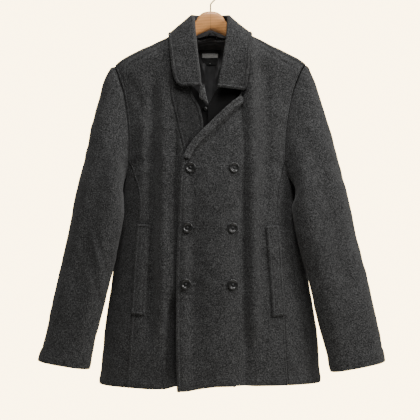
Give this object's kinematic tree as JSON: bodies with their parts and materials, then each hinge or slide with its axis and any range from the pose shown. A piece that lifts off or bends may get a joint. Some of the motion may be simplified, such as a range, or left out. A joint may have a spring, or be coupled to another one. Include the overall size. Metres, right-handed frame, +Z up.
{
  "type": "pea coat on a wooden hanger",
  "caption": "Hip-length double-breasted wool pea coat with a turned-down collar, set-in sleeves and welt pockets, hung buttoned on a wooden hanger.",
  "frame": {"origin": "inside top of the crook of the hanger's hook, where a rail carries it", "axes": "+Z up, the coat's front faces -Y, the wearer's left is +X"},
  "size_m": [0.7838, 0.1687, 0.9231],
  "materials": {
    "wool": "dark grey melange wool coating, felted and matte",
    "lining": "black satin lining",
    "inner_layer": "dark plain inner layer",
    "label": "black woven label, bare",
    "button": "glossy black resin",
    "wood": "pale clear-lacquered wood",
    "steel": "bright plated steel wire"
  },
  "bodies": {
    "root": {"front_left": "wool", "front_right": "wool", "front_right_inner": "wool", "side_left": "wool", "side_right": "wool", "back_left": "wool", "back_right": "wool", "sleeve_left_upper": "wool", "sleeve_left_under": "wool", "sleeve_right_upper": "wool", "sleeve_right_under": "wool", "collar": "wool", "lapel_left": "wool", "lapel_right": "wool", "welt_left": "wool", "welt_right": "wool", "lining_back": "lining", "hang_loop": "lining", "insert_left": "inner_layer", "insert_right": "inner_layer", "label": "label", "button_1": "button", "button_2": "button", "button_3": "button", "button_4": "button", "button_5": "button", "button_6": "button", "snap": "button", "hanger_wood": "wood", "hanger_hook": "steel"}
  },
  "joints": []
}
